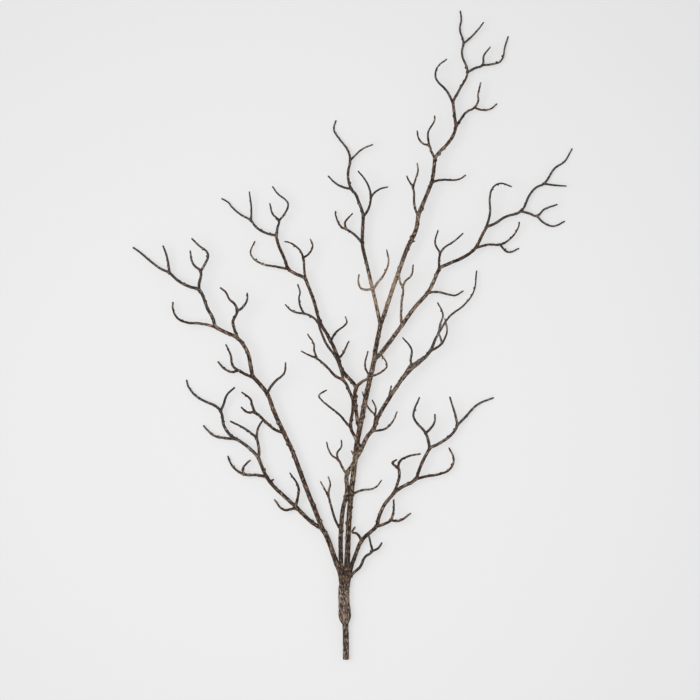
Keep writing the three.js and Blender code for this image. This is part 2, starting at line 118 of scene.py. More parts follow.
@dataclass
class Value:
    """A shader socket that takes part in Python expressions.

    Attributes:
        graph: The graph that the socket belongs to.
        socket: An output socket.
    """

    graph: "Graph"
    socket: Any

    def _math(self, operation: str, first: Input, second: Input) -> "Value":
        """Adds one Math node and returns its result."""
        return self.graph.add("ShaderNodeMath", {"operation": operation}, {0: first, 1: second})

    def __add__(self, other: Input) -> "Value":
        """This value plus another."""
        return self._math("ADD", self, other)

    def __sub__(self, other: Input) -> "Value":
        """This value less another."""
        return self._math("SUBTRACT", self, other)

    def __rsub__(self, other: Input) -> "Value":
        """Another value less this one."""
        return self._math("SUBTRACT", other, self)

    def __mul__(self, other: Input) -> "Value":
        """This value times another."""
        return self._math("MULTIPLY", self, other)

    __radd__ = __add__
    __rmul__ = __mul__

    def between(self, low: float, high: float) -> "Value":
        """Stretches this value so that low becomes 0 and high becomes 1, with soft ends."""
        limits = {"Value": self, "From Min": low, "From Max": high}
        return self.graph.add("ShaderNodeMapRange", {"interpolation_type": "SMOOTHSTEP"}, limits)


class Graph:
    """The nodes of one material."""

    def __init__(self, name: str) -> None:
        """Starts an empty material.

        Args:
            name: Name of the material.
        """
        self.material = bpy.data.materials.new(name)
        self.material.use_nodes = True
        self.tree = self.material.node_tree
        self.tree.nodes.clear()

    def node(self, kind: str, settings: dict[str, Any], inputs: dict[Any, Input]) -> Any:
        """Adds a node, sets it up and joins its inputs.

        Args:
            kind: The node's type.
            settings: Properties of the node, set before its inputs.
            inputs: Values or links of its sockets, by name or number.

        Returns:
            The node.
        """
        made = self.tree.nodes.new(kind)
        for name, value in settings.items():
            setattr(made, name, value)
        for key, value in inputs.items():
            socket = made.inputs[key]
            if isinstance(value, Value):
                self.tree.links.new(value.socket, socket)
            elif isinstance(value, tuple) and socket.type == "RGBA":
                socket.default_value = (*value, 1.0)
            else:
                socket.default_value = value
        return made

    def add(self, kind: str, settings: dict[str, Any], inputs: dict[Any, Input], output: Any = 0) -> Value:
        """Adds a node and returns one of its outputs, the first unless another is named."""
        return Value(self, self.node(kind, settings, inputs).outputs[output])

    def mix(self, share: Input, first: Input, second: Input) -> Value:
        """Mixes two colours by the share of the second one, from 0 to 1."""
        return self.add("ShaderNodeMix", {"data_type": "RGBA"}, {"Factor": share, 6: first, 7: second}, 2)

    def grain(self, place: Value, size: float, detail: float, roughness: float) -> Value:
        """Noise near 0.5, with features of a size in metres and finer layers of a number and strength."""
        inputs = {"Vector": place, "Scale": 1 / size, "Detail": detail, "Roughness": roughness}
        return self.add("ShaderNodeTexNoise", {}, inputs)


@dataclass(frozen=True)
class BarkFinish:
    """Colours and grain of one kind of bark.

    Attributes:
        kind: Which bark it is.
        hollow_tone_and_shade: Dark colour between the grains, partly the bark's own dark tone and partly painted
            shade in the hollows, where the relief is low.
        ground: Main colour.
        warm: Colour of the reddish patches.
        fleck: Colour of the pale grains.
        fleck_share: How much of the surface the pale grains take, from 0 to 1.
        grain_size: Size of one grain, in metres.
        fleck_size: Size of a group of pale grains, in metres.
        patch_size: Size of a reddish patch, in metres.
        weather_size: Distance over which the bark turns from dark to pale, in metres.
        bump: Height of the finest grain, in metres.
        upper: The bark that this one turns into along the neck, if it does.
    """

    kind: Bark
    hollow_tone_and_shade: Colour
    ground: Colour
    warm: Colour
    fleck: Colour
    fleck_share: float
    grain_size: float = 1.6 * MM
    fleck_size: float = 1.5 * MM
    patch_size: float = 12 * MM
    weather_size: float = 55 * MM
    bump: float = 0.12 * MM
    upper: "BarkFinish | None" = None

    def material(self) -> bpy.types.Material:
        """Makes the bark's material.

        Returns:
            A material of mottled grains, darker in its hollows with painted shade and paler on its high spots.
        """
        graph = Graph(self.kind.value)
        place = graph.add("ShaderNodeTexCoord", {}, {}, "Object")
        fibre = graph.add("ShaderNodeAttribute", {"attribute_name": "fibre"}, {}, "Vector")
        grain = graph.grain(fibre, self.grain_size, 3.0, 0.62)
        colour, pale = self._colour(place, fibre, grain)
        if self.upper is not None:
            upper, _ = self.upper._colour(place, fibre, grain)
            height = graph.add("ShaderNodeSeparateXYZ", {}, {0: place}, "Y")
            colour = graph.mix(height.between(*NECK), colour, upper)
        bump = graph.add("ShaderNodeBump", {}, {"Strength": 0.8, "Distance": self.bump, "Height": grain})
        shader = graph.add("ShaderNodeBsdfPrincipled", {}, {
            "Base Color": colour, "Roughness": 0.95 - pale * 0.2, "Normal": bump, "Specular IOR Level": 0.25})
        graph.node("ShaderNodeOutputMaterial", {}, {"Surface": shader})
        return graph.material

    def _colour(self, place: Value, fibre: Value, grain: Value) -> tuple[Value, Value]:
        """Mixes the bark's colours.

        Args:
            place: Where on the object.
            fibre: Where in the wood's grain.
            grain: The finest grain.

        Returns:
            The colour, and how much of it is pale.
        """
        graph = place.graph
        speck = graph.grain(fibre, self.fleck_size, 5.0, 0.72)
        patch = graph.grain(place, self.patch_size, 2.0, 0.5)
        weather = graph.grain(place, self.weather_size, 1.0, 0.4)
        relief = graph.add("ShaderNodeAttribute", {"attribute_name": "relief"}, {}, "Fac")
        ends = {0: place, 1: WORN_PLACE}
        worn = graph.add("ShaderNodeVectorMath", {"operation": "DISTANCE"}, ends, "Value")
        worn = worn.between(WORN_REACH, 0.2 * WORN_REACH)
        pale_edge = 0.635 - 0.22 * self.fleck_share
        pale = speck + relief * RELIEF_WEIGHT + (weather - 0.5) * WEATHER_WEIGHT + worn * WORN_WEIGHT
        pale = pale.between(pale_edge, pale_edge + FLECK_SOFTNESS)
        # Painted shade, in part: the low parts of the finest grain, which also drives the bump, take the bark's
        # darkest colour.
        colour = graph.mix(grain.between(0.34, 0.62), self.hollow_tone_and_shade, self.ground)
        colour = graph.mix(patch.between(0.52, 0.64) * 0.8, colour, self.warm)
        colour = graph.mix(pale * 0.9, colour, self.fleck)
        # Painted shade: where the skin's relief is low, the colour is darkened towards the bark's darkest
        # colour.
        return graph.mix(relief.between(-0.25, -0.9) * 0.8, colour, self.hollow_tone_and_shade), pale


@dataclass
class Stop:
    """A point of a route, by its index, with a diameter and a height there in millimetres."""

    at: int
    diameter: float
    height: float | None = None


@dataclass
class Station:
    """A point in the middle of the wood, and the wood's radius there, in metres."""

    place: Vector
    radius: float


@dataclass
class Shoot:
    """A stretch of wood along a route, with what grows from it.

    Attributes:
        stops: Diameters and heights, between which both change evenly.
        route: Points of its line, from base to tip.
        twigs: Shoots that are one piece with it.
        name: Name of the solid, where the shoot is a piece of its own.
        line: Its stations in space, once it is laid.
        root: A station inside what it grows from, where the shoot is a piece of its own.
    """

    stops: list[Stop]
    route: list[Point]
    twigs: list["Shoot"]
    name: str = ""
    line: list[Station] = field(default_factory=list)
    root: Station | None = None

    def lay(self, base: float) -> None:
        """Lays the shoot and its twigs in space.

        Args:
            base: Height of its base, in metres.
        """
        points = np.array(self.route)
        lengths = np.concatenate([[0.0], np.cumsum(np.hypot(*np.diff(points, axis=0).T))])
        marks = [lengths[stop.at] for stop in self.stops]
        heights = np.interp(lengths, marks, [base / MM if s.height is None else s.height for s in self.stops])
        radii = np.interp(lengths, marks, [stop.diameter / 2 for stop in self.stops])
        self.line = [
            Station(picture_place(x, y, height * MM), radius * MM)
            for (x, y), height, radius in zip(self.route, heights, radii)
        ]
        for twig in self.twigs:
            twig.lay(self.at(self.foot(twig.route[0])).place.z)

    def foot(self, point: Point) -> float:
        """How far along the line the place nearest to a point of the picture is.

        Args:
            point: The point's place, across and down.

        Returns:
            The distance from the line's base, in metres.
        """
        goal = picture_place(*point, 0.0)
        best, reach, passed = 0.0, float("inf"), 0.0
        for start, end in zip(self.line, self.line[1:]):
            run = end.place - start.place
            flat = run.to_2d()
            share = (goal - start.place).to_2d().dot(flat) / max(flat.length_squared, 1e-12)
            share = max(0.0, min(1.0, share))
            distance = (start.place + run * share - goal).to_2d().length
            if distance < reach:
                best, reach = passed + share * run.length, distance
            passed += run.length
        return best

    def at(self, distance: float) -> Station:
        """The station at a distance along the line.

        Args:
            distance: Distance from the line's base, in metres.

        Returns:
            The station there, or the nearer end of the line.
        """
        left = max(distance, 0.0)
        for start, end in zip(self.line, self.line[1:]):
            length = (end.place - start.place).length
            if left <= length:
                radius = start.radius + (end.radius - start.radius) * left / length
                return Station(start.place.lerp(end.place, left / length), radius)
            left -= length
        return self.line[-1]

    def grow_from(self, carrier: "Shoot") -> None:
        """Lays the shoot so that it starts inside another one.

        Args:
            carrier: What it grows from, already laid.
        """
        foot = carrier.foot(self.route[0])
        self.lay(carrier.at(foot).place.z)
        start = self.line[0]
        inside = carrier.at(foot - ROOT_REACH * start.radius)
        self.root = Station(inside.place, ROOT_SLIMNESS * min(inside.radius, start.radius))

    def walk(self) -> Iterator["Shoot"]:
        """Yields the shoot and every twig on it."""
        yield self
        for twig in self.twigs:
            yield from twig.walk()


def picture_place(across: float, down: float, height: float) -> Vector:
    """Place in space, in metres, of a point of the picture at a height in metres."""
    return Vector(((across - MIDDLE_ACROSS) * UNIT, (CUT_END - down) * UNIT + CAD_BOX[0].y, height))


def stretch(diameters: list[float], height: float, route: list[Point], *twigs: Shoot) -> Shoot:
    """A stretch of wood whose line runs on along the first twig that starts at its very end.

    Args:
        diameters: At its base and its end, in millimetres.
        height: Height of its end, in millimetres.
        route: Points of its line.
        twigs: What grows from it.

    Returns:
        The shoot.
    """
    last = len(route) - 1
    stops = [Stop(0, diameters[0]), Stop(last, diameters[1], height)]
    following = next((twig for twig in twigs if twig.route[0] == route[last]), None)
    if following is None:
        return Shoot(stops, route, list(twigs))
    stops += [replace(stop, at=stop.at + last) for stop in following.stops[1:]]
    others = [twig for twig in twigs if twig is not following]
    return Shoot(stops, route + following.route[1:], others + following.twigs)


def limb(name: str, diameters: list[float], height: float, route: list[Point], twigs: list[Shoot]) -> Shoot:
    """A stretch that is a piece of its own, with the name of its solid."""
    return replace(stretch(diameters, height, route, *twigs), name=name)


@dataclass(frozen=True)
class TwigGrade:
    """Girths of a kind of twig, in millimetres.

    Attributes:
        base: Diameter where the twig leaves its limb.
        fork: Diameter where it forks.
        tip: Diameter of its tips.
    """

    base: float
    fork: float
    tip: float

    @property
    def lying(self) -> float:
        """Height of a tip that lies on the floor, in millimetres."""
        return LYING_HEIGHT * self.tip

    def forked(self, height: float, route: list[Point], *tines: Shoot) -> Shoot:
        """A twig that carries tines at its end."""
        return stretch([self.base, self.fork], height, route, *tines)

    def tine(self, height: float, *route: Point) -> Shoot:
        """One end of a forked twig."""
        return stretch([self.fork, self.tip], height, list(route))

    def twig(self, height: float, *route: Point) -> Shoot:
        """A twig with one tip."""
        return stretch([self.base, self.tip], height, list(route))


# Twigs are stouter on the left and at the lower right than in the middle and at the top.
STOUT = TwigGrade(4.4, 4.0, 2.7)
SLENDER = TwigGrade(3.8, 3.3, 2.3)

# The left limb and its two arms
LEFT_LIMB = limb("left_limb", [7.2, 7], 11, [[332.5, 552], [326, 535], [323, 530]], [])
LEFT_UPPER_LIMB = limb("left_upper_limb", [6.8, 5.8], 24, [
    [323, 530], [315, 510], [307, 490], [299.5, 470], [292, 450], [282.5, 430], [273.5, 410], [267.5, 394],
    [262.5, 387], [253.5, 377],
], [
    STOUT.forked(27, [[284, 433], [276, 430], [268.5, 424.5], [255, 412.5]],
        STOUT.tine(34, [255, 412.5], [247.5, 412], [241.8, 407.3]),
        STOUT.tine(22, [255, 412.5], [252, 404], [250.8, 399.5], [242, 392.3])),
    STOUT.twig(40, [266.5, 395], [270.5, 387.5], [276.5, 380.3], [283, 375], [285, 371.5], [285.9, 362.8]),
])
LEFT_UPPER_SHOOT = limb("left_upper_shoot", [5.8, 5.1], 27, [
    [253.5, 377], [251, 367], [248.3, 354], [243, 344], [237.5, 338], [224, 331.5], [216.5, 327.5],
], [
    STOUT.forked(18, [[254.5, 378], [245, 374], [237.5, 370.3]],
        STOUT.tine(9, [237.5, 370.3], [233.5, 372], [225.5, 369.5], [218, 362]),
        STOUT.tine(24, [237.5, 370.3], [232.5, 365], [231, 356], [226.3, 344.8])),
    STOUT.forked(38, [[238.5, 339], [235, 330], [233.3, 322], [237.5, 311.5]],
        STOUT.tine(44, [237.5, 311.5], [235, 304], [230, 299.5], [226, 292], [221.3, 288.3]),
        STOUT.tine(36, [237.5, 311.5], [243, 307.5], [247.7, 299], [247.5, 293.5])),
    STOUT.twig(12, [218, 328.5], [212, 326], [200, 323.5], [187, 322.5], [177.5, 318], [172.8, 308.5],
        [173, 302.5]),
])
LEFT_UPPER_CROWN = limb("left_upper_crown", [5, 4.6], 25, [
    [216.5, 327.5], [213, 318], [207.5, 308], [203.5, 297], [199.5, 290],
], [
    stretch([4.4, 3.8], 13, [[199.5, 290], [190, 286.8], [178.5, 281], [169.5, 273]],
        STOUT.tine(STOUT.lying, [169.5, 273], [160, 268.3], [150.5, 261.3], [138.5, 251.3], [133, 247.5]),
        STOUT.tine(19, [169.5, 273], [166.8, 256], [163.4, 246.3])),
    STOUT.forked(32, [[199.5, 290], [199.3, 285], [201, 271.5]],
        STOUT.tine(40, [201, 271.5], [195, 266], [192.7, 262], [190.9, 251.5]),
        STOUT.tine(27, [201, 271.5], [205.5, 264], [208.3, 254.5], [199, 245.5], [192.3, 239])),
])
LEFT_LOWER_LIMB = limb("left_lower_limb", [5.9, 5.1], 15, [
    [323, 530], [312, 522.5], [297, 508], [284, 496], [273, 485.5], [266.5, 476.5], [258.5, 458],
], [
    STOUT.twig(30, [295.5, 506.5], [297.8, 497.5], [298.5, 487], [290.2, 473]),
    STOUT.twig(7, [297, 508], [290, 509.3], [286.5, 510.2], [282.5, 509.3], [274.5, 500]),
    STOUT.forked(11, [[267, 477.5], [259, 475.3], [244, 474.3]],
        STOUT.tine(4, [244, 474.3], [236, 470], [230, 462.5], [227.8, 456.5]),
        STOUT.tine(20, [244, 474.3], [242.8, 469.3], [246.5, 463.5], [250.3, 460.2])),
    STOUT.twig(16, [269.5, 482], [273.5, 479.5]),
])
LEFT_LOWER_SHOOT = limb("left_lower_shoot", [4.9, 4.1], 13, [
    [258.5, 458], [248, 447], [238, 440], [232, 436.5], [224.5, 427], [220.5, 411],
], [
    STOUT.forked(14, [[258.5, 458], [259, 453], [258, 443.5], [256.5, 438.5]],
        STOUT.tine(26, [256.5, 438.5], [251, 433], [243, 427.5], [231, 421.3]),
        STOUT.tine(8, [256.5, 438.5], [257.5, 430], [259, 426], [263.3, 419.5])),
    STOUT.twig(5, [236, 439], [224.5, 438], [214.5, 436], [207, 430], [203.5, 426]),
    STOUT.tine(STOUT.lying, [220.5, 411], [216, 406.5], [204, 401], [197, 397], [188, 386.5], [186.3, 380.5]),
    STOUT.tine(24, [220.5, 411], [223.5, 404.5], [227, 395], [234.5, 387.7]),
])

# The centre-left limb, which crosses over the centre limb and goes on to the right. A short thick stretch at
# the end of the crossing limb, and one at the start of its crown, swell the fork between the two.
CENTRE_LEFT_LIMB = limb("centre_left_limb", [6.4, 6.1], 26, [
    [340.6, 548], [341, 530], [342.8, 510], [347.2, 490], [347, 474], [353, 464], [360.5, 450.5],
], [
    SLENDER.forked(26, [[341, 530], [336.5, 522.5], [330.5, 503.5], [328.5, 496]],
        SLENDER.tine(31, [328.5, 496], [324.5, 488.5], [320.7, 481.3]),
        SLENDER.tine(22, [328.5, 496], [328.7, 491], [330.3, 483.5], [328.3, 476.8])),
    SLENDER.forked(33, [[347, 474], [343, 468.5], [338.3, 459.5]],
        SLENDER.tine(30, [338.3, 459.5], [332, 455], [328, 447.5], [326.8, 442]),
        SLENDER.tine(42, [338.3, 459.5], [337.2, 453], [341.3, 446.5], [341.5, 440])),
])
CROSSING_LIMB = limb("crossing_limb", [6.1, 5.6], 30, [
    [360.5, 450.5], [367.5, 436], [373, 429.5], [378, 417], [388.5, 399], [401.5, 379.5], [411, 367],
], [
    SLENDER.twig(38, [372, 430.5], [377, 430.5], [386, 428], [393, 420.5], [396.8, 411.5]),
    SLENDER.forked(33, [[373.5, 428.5], [374.8, 420], [375, 415]],
        SLENDER.tine(30, [375, 415], [371.5, 411.5], [366.5, 404.5], [362.5, 392]),
        SLENDER.tine(41, [375, 415], [375.7, 408], [372.3, 400])),
    SLENDER.twig(34, [388.5, 399], [390.3, 390], [391.2, 386]),
    stretch([5.2, 9.2], 30, [[402, 378.8], [406.5, 373], [411, 367]]),
])
CROSSING_CROWN = limb("crossing_crown", [5.4, 4.8], 27, [
    [411, 367], [420, 361.5], [430, 351],
], [
    SLENDER.twig(40, [411.5, 366.7], [410.5, 360], [411.7, 352], [410.5, 347.5], [402.5, 337.8]),
    stretch([4.2, 3.5], 24, [[430, 351], [435.5, 338.5], [438, 334]],
        SLENDER.tine(33, [438, 334], [440, 324.5], [442.7, 315], [437.5, 303]),
        SLENDER.tine(8, [438, 334], [449.5, 316.5], [464, 305], [473.5, 292], [476.7, 271])),
    SLENDER.forked(34, [[430, 351], [435, 348.5], [441.5, 343.5]],
        SLENDER.tine(40, [441.5, 343.5], [445, 337], [446.7, 331], [444.5, 319]),
        SLENDER.tine(43, [441.5, 343.5], [440.5, 339], [438.5, 333.5])),
    stretch([9.2, 4.9], 28, [[411, 367], [416, 364], [424, 357.3]]),
])
MIDDLE_STRAND = limb("middle_strand", [5, 4.3], 33, [
    [360.5, 450.5], [355, 437], [351, 428], [353, 407], [352.5, 399], [349.3, 391], [344, 381],
], [
    SLENDER.twig(41, [351, 428], [345, 421], [340, 415], [330, 407], [321, 399], [319, 395.5], [320, 394],
        [326.5, 390]),
    SLENDER.forked(39, [[344, 381], [335, 375.5], [327, 367], [317, 358.5]],
        SLENDER.tine(34, [317, 358.5], [309, 355], [301.5, 351.2]),
        SLENDER.tine(46, [317, 358.5], [314.2, 349.5], [314.3, 345], [308, 334.5])),
])
THIN_STRAND = limb("thin_strand", [4, 3.4], 29, [
    [344, 381], [341.5, 372], [336, 357.5], [326.5, 344], [320.5, 330], [317, 321], [304, 313.5],
], [
    SLENDER.tine(23, [304, 313.5], [300, 313.3], [291.5, 310.5], [285.5, 304.8]),
    SLENDER.tine(37, [304, 313.5], [300.5, 306.5], [299.2, 297.5], [300.2, 293], [298, 284.8]),
])

# The centre limb, lowest of the middle ones, and the strand that leaves it to the upper left
CENTRE_LIMB = limb("centre_limb", [7.9, 6.9], 16, [
    [347.6, 552], [349, 520], [350.5, 500], [354, 470], [357.5, 440], [361.5, 420], [366, 397], [374, 361],
], [
    SLENDER.twig(17, [352.5, 494], [361, 490.5], [375, 487.7], [381.5, 480.3]),
    SLENDER.twig(16, [355.5, 458.5], [351.5, 451]),
])
INNER_LEFT_LIMB = limb("inner_left_limb", [5.6, 5.3], 20, [
    [359.5, 432], [357, 418], [355.3, 400], [356, 388],
], [
    SLENDER.forked(26, [[356, 388], [361, 382.5], [368.5, 376.5]],
        SLENDER.tine(36, [368.5, 376.5], [365.7, 369], [365, 364], [367.8, 351.5]),
        SLENDER.tine(27, [368.5, 376.5], [377, 374.3], [385, 369], [386.8, 366], [379.5, 352.3])),
])
INNER_LEFT_CROWN = limb("inner_left_crown", [5.2, 4.7], 20, [
    [356, 388], [346, 375], [341.5, 369], [338, 357], [327.5, 335], [320.5, 323], [313.6, 300],
    [305.5, 279],
], [
    SLENDER.twig(27, [330.5, 341.5], [335.5, 333], [345, 325], [346.8, 322.5], [345.5, 317]),
    SLENDER.twig(12, [338, 357.5], [340.5, 356.5], [348.8, 341.5]),
])
INNER_LEFT_TOP = limb("inner_left_top", [4.8, 4.3], 16, [
    [305.5, 279], [295, 273.5], [288.5, 269], [285, 260], [277.5, 242], [276.3, 236.5],
], [
    SLENDER.forked(31, [[305.5, 279], [304.3, 269], [303.3, 258]],
        SLENDER.tine(36, [303.3, 258], [299.5, 250], [288.5, 242.5], [285, 242]),
        SLENDER.tine(29, [303.3, 258], [308.5, 254.5], [312.7, 246.5], [310.5, 239.5])),
    SLENDER.twig(10, [289, 269.3], [278, 267], [260, 263], [251.5, 256], [250.5, 252], [254.7, 241.5]),
])
INNER_LEFT_TIP = limb("inner_left_tip", [4.1, 4], 16, [[276.3, 236.5], [276.8, 232.5]], [
    stretch([3.8, 3.3], 10, [[276.5, 235.5], [266, 233], [256, 227], [251, 220.5]],
        SLENDER.tine(SLENDER.lying, [251, 220.5], [240, 214], [231, 206], [228.5, 202.5], [221.5, 198.3]),
        SLENDER.tine(17, [251, 220.5], [251.3, 209], [249.4, 192])),
    SLENDER.forked(23, [[276.8, 233], [277.5, 228], [279, 221]],
        SLENDER.tine(31, [279, 221], [273, 214.5], [270, 204]),
        SLENDER.tine(21, [279, 221], [285, 213.5], [288.2, 204.5], [286.5, 201], [278, 194], [272.8, 187])),
])

# What the centre limb carries: a short neck, the upright crown and the tall limb
CENTRE_NECK = limb("centre_neck", [6.8, 6.3], 18, [[374, 361], [375.5, 350], [380, 327]], [])
CENTRE_CROWN = limb("centre_crown", [5.3, 4.8], 20, [
    [380, 327], [377.2, 310], [372.5, 289], [366, 261], [362.5, 246], [362.3, 237], [363.3, 217],
], [
    SLENDER.twig(33, [372.5, 289], [365, 289.7], [361, 288.3], [358.3, 281.5], [359, 275]),
    SLENDER.twig(30, [373, 290], [377, 283.5], [383, 276], [388.5, 262.5], [386.6, 250]),
    SLENDER.forked(14, [[362.4, 244], [357, 237], [346, 229]],
        SLENDER.tine(8, [346, 229], [342, 227.5], [335.8, 215.5], [335.5, 211.5]),
        SLENDER.tine(22, [346, 229], [345, 222.5], [347, 219.5], [352.5, 213.8])),
])
CENTRE_TIP = limb("centre_tip", [4.5, 3.6], 10, [
    [363.3, 217], [358, 200], [356, 195], [351, 188.5], [348, 174], [350.2, 159.5],
], [
    SLENDER.twig(24, [351.5, 189], [344, 187.5], [336.5, 184], [328.3, 176.5]),
    SLENDER.tine(SLENDER.lying, [350.2, 159.5], [348, 150.5], [338.5, 137.5], [333.8, 129], [335.8, 120.3]),
    SLENDER.tine(19, [350, 160.5], [355, 155.5], [362, 149.3], [372.5, 144.8]),
    SLENDER.forked(28, [[363.3, 217], [368.5, 209], [370.7, 198]],
        SLENDER.tine(36, [370.7, 198], [369, 188], [364.5, 179.5], [358.3, 172]),
        SLENDER.tine(22, [370.7, 198], [374, 193.5], [380.5, 189], [387.5, 187.2])),
])
TALL_LIMB = limb("tall_limb", [6.1, 6], 26, [
    [380, 327], [385.7, 310], [392.2, 290], [400, 268], [406.5, 250], [415.8, 230], [418, 217],
], [SLENDER.twig(25, [410, 242], [414.5, 241.5])])
TALL_LIMB_UPPER = limb("tall_limb_upper", [5.9, 5], 24, [
    [418, 217], [425.8, 197], [430.5, 185.5], [432, 181], [434.8, 159],
], [
    SLENDER.forked(36, [[418, 217], [414.5, 207], [412.7, 188]],
        SLENDER.tine(40, [412.7, 188], [409, 182], [406.5, 177]),
        SLENDER.tine(30, [412.7, 188], [415.3, 180], [417.8, 171], [417, 164])),
    SLENDER.twig(16, [431.5, 182.5], [440, 180.3], [459, 179.3], [465.5, 175.3]),
])
TALL_CROWN = limb("tall_crown", [5, 4.2], 17, [
    [434.8, 159], [449, 142], [452.5, 136.5], [455.5, 127.5], [454.5, 116], [453, 103],
], [
    SLENDER.forked(31, [[434.8, 159], [431, 151.5], [429, 146.3]],
        SLENDER.tine(27, [429, 146.3], [423, 144.2], [418.6, 139], [417, 131.5]),
        SLENDER.tine(38, [429, 146.3], [427.7, 137.5], [427.8, 133.5], [434.5, 120], [434.3, 117])),
    SLENDER.forked(13, [[455.3, 128.5], [460, 120.5], [466.5, 112], [474.5, 107.5]],
        SLENDER.tine(21, [474.5, 107.5], [478.3, 100.5], [478, 95.5], [480.6, 83]),
        SLENDER.tine(5, [474.5, 107.5], [482, 109.8], [490.5, 108.7], [497, 103.5])),
])
TALL_TIP = limb("tall_tip", [3.9, 3.3], 10, [[453, 103], [459, 90.5], [467.5, 72]], [
    SLENDER.twig(29, [453, 103], [446.5, 91], [436.8, 80.5], [435.3, 76], [437.5, 67.5], [446.3, 60]),
    SLENDER.forked(7, [[467.5, 72], [462.3, 55], [462.2, 50], [463.7, 43]],
        SLENDER.tine(SLENDER.lying, [463.7, 43], [460, 28.5], [461.5, 18.5], [460.5, HIGHEST_TIP]),
        SLENDER.tine(15, [463.7, 43], [470, 38], [478.5, 29], [483.5, 22.5])),
    SLENDER.forked(12, [[467.5, 72], [475, 68], [482.5, 65]],
        SLENDER.tine(22, [482.5, 65], [483.7, 56], [490, 47.5]),
        SLENDER.tine(SLENDER.lying, [482.5, 65], [492, 64], [501, 60.5], [505.3, 46], [508.5, 36])),
])

# The right limb
RIGHT_LIMB = limb("right_limb", [6.3, 5.2], 22, [
    [374, 361], [381, 353], [398.5, 330], [402, 325], [415, 307], [428, 292], [439, 269],
], [
    SLENDER.forked(29, [[401.5, 326], [401, 315], [401.5, 303], [402.5, 287]],
        SLENDER.tine(33, [402.5, 287], [400.5, 284], [399.2, 276], [399.5, 272]),
        SLENDER.tine(39, [402.5, 287], [405.5, 281], [411, 276], [413, 265.5])),
    SLENDER.twig(11, [427, 293], [437, 292], [451, 295], [455.5, 295.3], [463, 291]),
])
RIGHT_LIMB_OUTER = limb("right_limb_outer", [4.9, 4.2], 17, [
    [439, 269], [448, 264], [460, 259], [469.5, 253.5], [475.5, 248], [481.5, 236.5], [486, 228],
], [
    SLENDER.forked(33, [[439, 269], [439, 258], [439.7, 254]],
        SLENDER.tine(39, [439.7, 254], [436, 247], [434.8, 243], [437.6, 231]),
        SLENDER.tine(29, [439.7, 254], [443, 249], [454.5, 241], [462.5, 233.8])),
    SLENDER.forked(9, [[475.5, 248], [489, 244.5], [500, 244.5]],
        SLENDER.tine(16, [500, 244.5], [507.5, 241], [518.3, 227.5], [519.3, 222.5]),
        SLENDER.tine(SLENDER.lying, [500, 244.5], [508.5, 252], [519, 248.3])),
])
RIGHT_TIP = limb("right_tip", [4.1, 3.5], 10, [[486, 228], [495, 223.5], [505, 217], [521, 211]], [
    SLENDER.twig(31, [486, 228], [489.8, 214], [489.8, 196], [493, 187.5], [500, 183.8], [511, 187]),
    SLENDER.forked(6, [[521, 211], [530, 194.5], [536, 187.5], [544, 183.5]],
        SLENDER.tine(SLENDER.lying, [544, 183.5], [555.5, 167.5], [564.5, 161.5], [572.5, 148.5]),
        SLENDER.tine(13, [544, 183.5], [554, 185], [566, 186])),
    SLENDER.forked(6, [[521, 211], [530, 213.5], [537, 215.8]],
        SLENDER.tine(14, [537, 215.8], [544, 209.5], [557, 204.5]),
        SLENDER.tine(SLENDER.lying, [537, 215.8], [544, 222.5], [553, 226], [557.5, 225], [565, 221])),
])

# The lower right limb and the small twig beside the collar
LOWER_RIGHT_LIMB = limb("lower_right_limb", [5.6, 5], 17, [
    [355.5, 555], [361.5, 541], [367, 535], [376.5, 526], [379, 517], [384, 505.5], [393.5, 493.5],
], [
    STOUT.twig(19, [361.7, 540.6], [356.5, 533.3], [352.6, 532.3], [354.8, 527]),
    STOUT.forked(21, [[376, 526.5], [384, 524], [390.5, 520]],
        STOUT.tine(30, [390.5, 520], [393, 513], [393.7, 508], [393.5, 499.5]),
        STOUT.tine(14, [390.5, 520], [399, 520.7], [410.5, 513.5])),
])
LOWER_RIGHT_SHOOT = limb("lower_right_shoot", [5.1, 4.5], 18, [
    [393.5, 493.5], [401, 487.5], [415.5, 479], [418.5, 471.5], [423, 460.5], [429.5, 448.5],
], [
    STOUT.forked(29, [[393.5, 493.5], [396.5, 486], [399.3, 475], [397.8, 467.5]],
        STOUT.tine(33, [397.8, 467.5], [393, 464], [392.3, 462.3], [396.3, 459.5]),
        STOUT.tine(24, [397.8, 467.5], [399.7, 461], [407, 456.5], [420, 453.7])),
    STOUT.twig(9, [415, 479.3], [426, 476.3], [439, 474.2], [450, 469], [453.8, 459.5], [449.3, 448.3]),
])
LOWER_RIGHT_CROWN = limb("lower_right_crown", [4.5, 3.9], 13, [
    [429.5, 448.5], [438, 444], [452, 434], [457, 425.5],
], [
    STOUT.forked(25, [[429.5, 448.5], [428.3, 441], [425.5, 433]],
        STOUT.tine(30, [425.5, 433], [414, 418.5], [413.3, 414], [419.2, 397.5]),
        STOUT.tine(21, [425.5, 433], [430.5, 428.3], [434.5, 421.5], [434.8, 414.5])),
    STOUT.tine(23, [457, 425.5], [456.5, 420.5], [449.8, 397.3]),
    STOUT.tine(STOUT.lying, [457, 425.5], [464, 418.5], [475.5, 406.3], [480, 403.2], [493.5, 398]),
])
SMALL_RIGHT_TWIG = limb("small_right_twig", [4.5, 3.8], 17, [
    [346.5, 583], [352, 574.5], [360, 567], [365, 557], [371.5, 551.5],
], [
    STOUT.tine(23, [371.5, 551.5], [370.5, 543], [368.7, 535]),
    STOUT.tine(12, [371.5, 551.5], [378.5, 547.8], [381.8, 543]),
])


